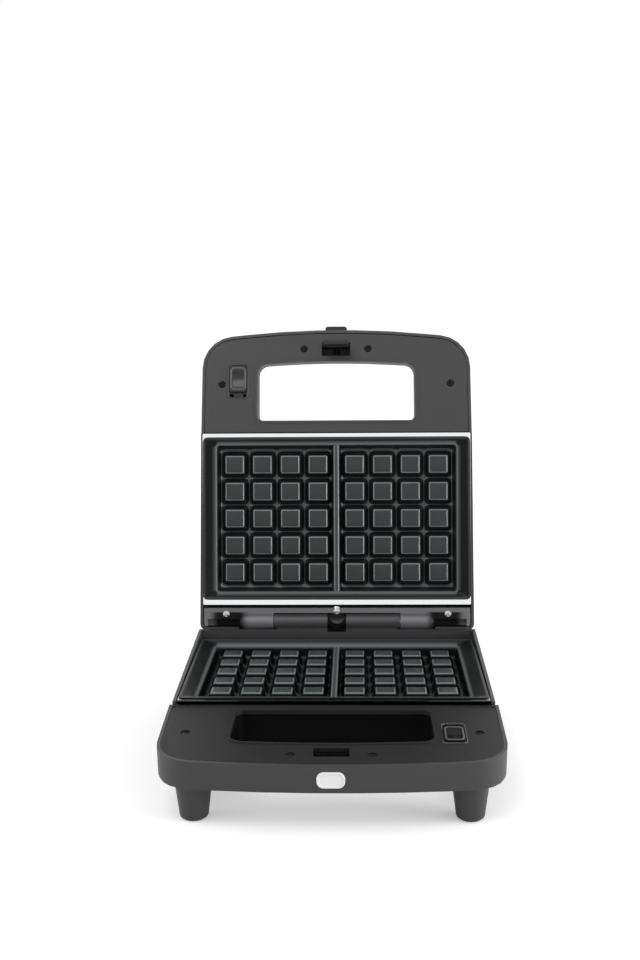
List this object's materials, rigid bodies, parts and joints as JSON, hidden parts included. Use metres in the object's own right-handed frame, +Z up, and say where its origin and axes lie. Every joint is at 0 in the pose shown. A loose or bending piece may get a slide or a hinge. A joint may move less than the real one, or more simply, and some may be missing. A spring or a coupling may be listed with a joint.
{
  "type": "waffle and sandwich maker",
  "caption": "Countertop waffle maker, lid standing open: two hinged halves with waffle plates, pierced handles, a latch, plate release sliders and feet.",
  "frame": {"origin": "middle of the bounding box's bottom, on the surface that the feet stand on, with the lid open", "axes": "+Z up, -Y towards the user, +X to the user's right, along the hinge"},
  "size_m": [0.235, 0.3154, 0.3165],
  "materials": {
    "housing_plastic": "fine satin grain",
    "deck_plastic": "fine satin grain",
    "dark_plastic": "satin",
    "nonstick_plate": "dark non-stick coating",
    "polished_sheet": "polished",
    "steel": "plain",
    "dark_screw": "blackened",
    "rubber": "matte",
    "white_lens": "translucent white",
    "ceramic": "plain"
  },
  "bodies": {
    "base": {"base_housing": "housing_plastic", "base_handle_cover": "deck_plastic", "lower_plate": "nonstick_plate", "lower_reflector": "polished_sheet", "lower_heater": "steel", "lower_release_spring": "steel", "latch_keeper": "steel", "indicator_lens": "white_lens", "indicator_lamp": "ceramic", "thermostat": "ceramic", "thermal_fuse": "steel", "terminal_block": "ceramic", "cord_gland": "rubber", "foot_front_left": "housing_plastic", "foot_front_right": "housing_plastic", "foot_rear_left": "housing_plastic", "foot_rear_right": "housing_plastic", "foot_pad_front_left": "rubber", "foot_pad_front_right": "rubber", "foot_pad_rear_left": "rubber", "foot_pad_rear_right": "rubber", "base_screw_left": "dark_screw", "base_screw_right": "dark_screw", "base_screw_inner_left": "dark_screw", "base_screw_inner_right": "dark_screw"},
    "lid": {"lid_shell": "housing_plastic", "lid_handle_cover": "deck_plastic", "lid_hinge_cover": "deck_plastic", "upper_plate": "nonstick_plate", "upper_reflector": "polished_sheet", "upper_heater": "steel", "upper_release_spring": "steel", "latch_pin": "steel", "latch_spring": "steel", "hinge_pin_left": "steel", "hinge_pin_right": "steel", "lid_screw_left": "dark_screw", "lid_screw_right": "dark_screw", "lid_screw_inner_left": "dark_screw", "lid_screw_inner_right": "dark_screw", "hinge_screw_left": "steel", "hinge_screw_right": "steel", "hinge_screw_middle": "steel"},
    "latch": {"latch_lever": "dark_plastic"},
    "upper_release": {"upper_release_slider": "dark_plastic"},
    "lower_release": {"lower_release_slider": "dark_plastic"}
  },
  "joints": [
    {"name": "lid_hinge", "type": "hinge", "parent": "base", "child": "lid", "pos_m": [0, 0.0915, 0.0725], "axis": [1, 0, 0], "range_deg": [0, 101.8]},
    {"name": "latch_pivot", "type": "hinge", "parent": "lid", "child": "latch", "pos_m": [0, 0.1448, 0.3032], "axis": [1, 0, 0], "range_deg": [0, 4]},
    {"name": "upper_release_slide", "type": "slide", "parent": "lid", "child": "upper_release", "axis": [0, -0.2571, -0.9664], "range_m": [0, 0.0044], "stiffness_N_per_m": 400, "springref_m": -0.002},
    {"name": "lower_release_slide", "type": "slide", "parent": "base", "child": "lower_release", "axis": [0, 0.9947, 0.1028], "range_m": [0, 0.0044], "stiffness_N_per_m": 400, "springref_m": -0.002}
  ]
}
